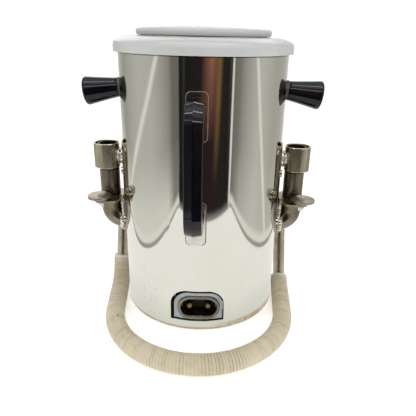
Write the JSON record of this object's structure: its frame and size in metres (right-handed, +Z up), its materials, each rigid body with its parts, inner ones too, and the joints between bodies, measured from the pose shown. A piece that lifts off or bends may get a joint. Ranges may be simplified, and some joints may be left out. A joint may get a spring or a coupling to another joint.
{
  "type": "electric kettle",
  "caption": "Tall round electric kettle with mirror-plated body, lift-off lid, rear grip, side knobs, pin inlet, pouring spout, side sockets and a hinged wrapped hoop.",
  "frame": {"origin": "centre of the round base, on the surface that the kettle stands on", "axes": "+Z up; -Y to the rear, with the grip, the inlet and the hoop; +Y to the spout; +X to the right seen from the rear"},
  "size_m": [0.245, 0.3051, 0.294],
  "materials": {
    "plated_body": "polished nickel-chrome plate with fine scratches",
    "white_collar": "glossy cool white",
    "inner_steel": "satin",
    "fasteners": "dulled bright plating",
    "foot_plates": "polished",
    "black_grip": "glossy moulded, fine wear",
    "flange_grey": "dull dark grey",
    "bracket_nickel": "worn warm grey nickel",
    "cam_nickel": "worn warm grey nickel",
    "hoop_metal": "tarnished nickel",
    "cord_wrap": "close-wound, cream, stained",
    "white_band": "close-wound, off-white",
    "inlet_grey": "light blue-grey, satin",
    "inlet_metal": "satin",
    "insulator": "dark phenolic",
    "brass_contacts": "dull",
    "seal_rubber": "matt",
    "cork_seal": "brown, matt",
    "spreader_aluminium": "as rolled",
    "heater_sheath": "heat-darkened",
    "wire_cover": "woven-covered wire"
  },
  "bodies": {
    "kettle": {"body_wall": "plated_body", "vessel_floor": "inner_steel", "spout": "plated_body", "strainer": "inner_steel", "rim_seal": "cork_seal", "rim_ring": "white_collar", "handle_grip": "black_grip", "handle_foot_upper": "foot_plates", "handle_foot_lower": "foot_plates", "handle_screws": "fasteners", "knob_left": "black_grip", "knob_right": "black_grip", "knob_flange_left": "flange_grey", "knob_flange_right": "flange_grey", "knob_studs": "fasteners", "seal_washers": "seal_rubber", "bracket_plate_left": "bracket_nickel", "bracket_plate_right": "bracket_nickel", "plate_rivets": "fasteners", "side_screws": "bracket_nickel", "tab_plate_left": "bracket_nickel", "tab_plate_right": "bracket_nickel", "elbow_leg_left": "bracket_nickel", "elbow_leg_right": "bracket_nickel", "socket_tube_left": "bracket_nickel", "socket_tube_right": "bracket_nickel", "tube_clip_left": "bracket_nickel", "tube_clip_right": "bracket_nickel", "cam_screw_left": "fasteners", "cam_screw_right": "fasteners", "cam_washers": "seal_rubber", "cam_nuts": "fasteners", "hoop_bosses": "bracket_nickel", "hoop_pivot_bolts": "fasteners", "hoop_pivot_nuts": "fasteners", "inlet_faceplate": "inlet_grey", "inlet_shroud": "inlet_metal", "inlet_body": "insulator", "inlet_pins": "brass_contacts", "earth_contacts": "brass_contacts", "inlet_clamp": "inner_steel", "heat_spreader": "spreader_aluminium", "heating_ring": "heater_sheath", "thermal_cutout": "insulator", "cutout_strap": "inner_steel", "internal_wires": "wire_cover", "base_plate": "inner_steel", "base_bolt": "inner_steel", "feet": "seal_rubber"},
    "lid": {"lid_disc": "white_collar", "lid_plug": "inner_steel", "lid_gasket": "seal_rubber", "lid_screws": "fasteners"},
    "cam_left": {"cam_disc_left": "cam_nickel"},
    "cam_right": {"cam_disc_right": "cam_nickel"},
    "hoop": {"hoop_rod": "hoop_metal", "hoop_wrap": "cord_wrap", "hoop_end_bands": "white_band"}
  },
  "joints": [
    {"name": "lid_lift", "type": "slide", "parent": "kettle", "child": "lid", "axis": [0, 0, 1], "range_m": [0, 0.08]},
    {"name": "hoop_tip", "type": "hinge", "parent": "kettle", "child": "hoop", "pos_m": [0, 0.028, 0.093], "axis": [-1, 0, 0], "range_deg": [0, 24]},
    {"name": "cam_turn_left", "type": "hinge", "parent": "kettle", "child": "cam_left", "pos_m": [-0.1057, -0.024, 0.124], "axis": [0, 0, -1], "range_deg": [-195, 38]},
    {"name": "cam_turn_right", "type": "hinge", "parent": "kettle", "child": "cam_right", "pos_m": [0.1057, -0.024, 0.124], "axis": [0, 0, 1], "range_deg": [-195, 38]}
  ]
}
